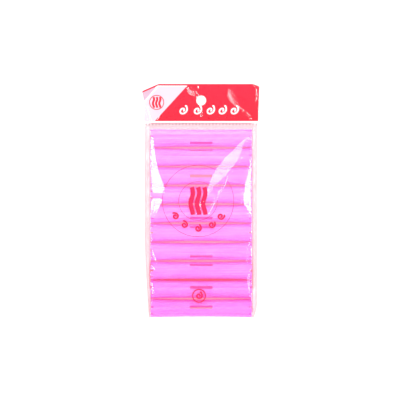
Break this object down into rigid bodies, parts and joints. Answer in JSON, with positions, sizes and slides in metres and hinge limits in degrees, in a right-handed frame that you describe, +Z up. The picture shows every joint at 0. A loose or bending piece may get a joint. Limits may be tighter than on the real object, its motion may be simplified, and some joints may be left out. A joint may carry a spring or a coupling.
{
  "type": "hair roller pack",
  "caption": "Hanging retail pack of slotted, waisted hair rollers in a clear film pouch with a printed header card and a hang hole.",
  "frame": {"origin": "centre of the hang hole, in the middle of the header card's thickness", "axes": "+Z up as the pack hangs, the printed front faces -Y, the rollers lie along X; the hang hole runs along Y"},
  "size_m": [0.0946, 0.017, 0.1925],
  "materials": {
    "roller_plastic": "moulded pink polypropylene, soft gloss, faint flow lines",
    "clear_film": "clear glossy packaging film, wrinkled",
    "tinted_film": "pale peach packaging film, crumpled",
    "welded_film": "heat-welded film, pressed with fine ribs",
    "printed_card": "coated card printed red with a pale lilac corner",
    "adhesive": "clear tacky strip"
  },
  "bodies": {
    "header": {"header_card": "printed_card", "header_sleeve": "clear_film"},
    "pouch": {"pouch_front_film": "clear_film", "pouch_back_film": "tinted_film", "side_weld_left": "welded_film", "side_weld_right": "welded_film", "heat_seal": "welded_film"},
    "roller_01_body": {"roller_01": "roller_plastic"},
    "roller_02_body": {"roller_02": "roller_plastic"},
    "roller_03_body": {"roller_03": "roller_plastic"},
    "roller_04_body": {"roller_04": "roller_plastic"},
    "roller_05_body": {"roller_05": "roller_plastic"},
    "roller_06_body": {"roller_06": "roller_plastic"},
    "roller_07_body": {"roller_07": "roller_plastic"},
    "roller_08_body": {"roller_08": "roller_plastic"},
    "roller_09_body": {"roller_09": "roller_plastic"},
    "roller_10_body": {"roller_10": "roller_plastic"},
    "flap": {"closing_flap": "tinted_film", "adhesive_strip": "adhesive"}
  },
  "joints": [
    {"name": "pouch_swing", "type": "hinge", "parent": "header", "child": "pouch", "pos_m": [0, 0, -0.0188], "axis": [1, 0, 0], "range_deg": [-90, 90]},
    {"name": "roller_01_turn", "type": "hinge", "parent": "pouch", "child": "roller_01_body", "pos_m": [0, 0, -0.0311], "axis": [1, 0, 0], "continuous": true},
    {"name": "roller_02_turn", "type": "hinge", "parent": "pouch", "child": "roller_02_body", "pos_m": [0, 0, -0.0466], "axis": [1, 0, 0], "continuous": true},
    {"name": "roller_03_turn", "type": "hinge", "parent": "pouch", "child": "roller_03_body", "pos_m": [0, 0, -0.0621], "axis": [1, 0, 0], "continuous": true},
    {"name": "roller_04_turn", "type": "hinge", "parent": "pouch", "child": "roller_04_body", "pos_m": [0, 0, -0.0776], "axis": [1, 0, 0], "continuous": true},
    {"name": "roller_05_turn", "type": "hinge", "parent": "pouch", "child": "roller_05_body", "pos_m": [0, 0, -0.0931], "axis": [1, 0, 0], "continuous": true},
    {"name": "roller_06_turn", "type": "hinge", "parent": "pouch", "child": "roller_06_body", "pos_m": [0, 0, -0.1086], "axis": [1, 0, 0], "continuous": true},
    {"name": "roller_07_turn", "type": "hinge", "parent": "pouch", "child": "roller_07_body", "pos_m": [0, 0, -0.1241], "axis": [1, 0, 0], "continuous": true},
    {"name": "roller_08_turn", "type": "hinge", "parent": "pouch", "child": "roller_08_body", "pos_m": [0, 0, -0.1396], "axis": [1, 0, 0], "continuous": true},
    {"name": "roller_09_turn", "type": "hinge", "parent": "pouch", "child": "roller_09_body", "pos_m": [0, 0, -0.1551], "axis": [1, 0, 0], "continuous": true},
    {"name": "roller_10_turn", "type": "hinge", "parent": "pouch", "child": "roller_10_body", "pos_m": [0, 0, -0.1706], "axis": [1, 0, 0], "continuous": true},
    {"name": "flap_peel", "type": "hinge", "parent": "pouch", "child": "flap", "pos_m": [0, 0.00873, -0.1706], "axis": [-1, 0, 0], "range_deg": [0, 170]}
  ]
}
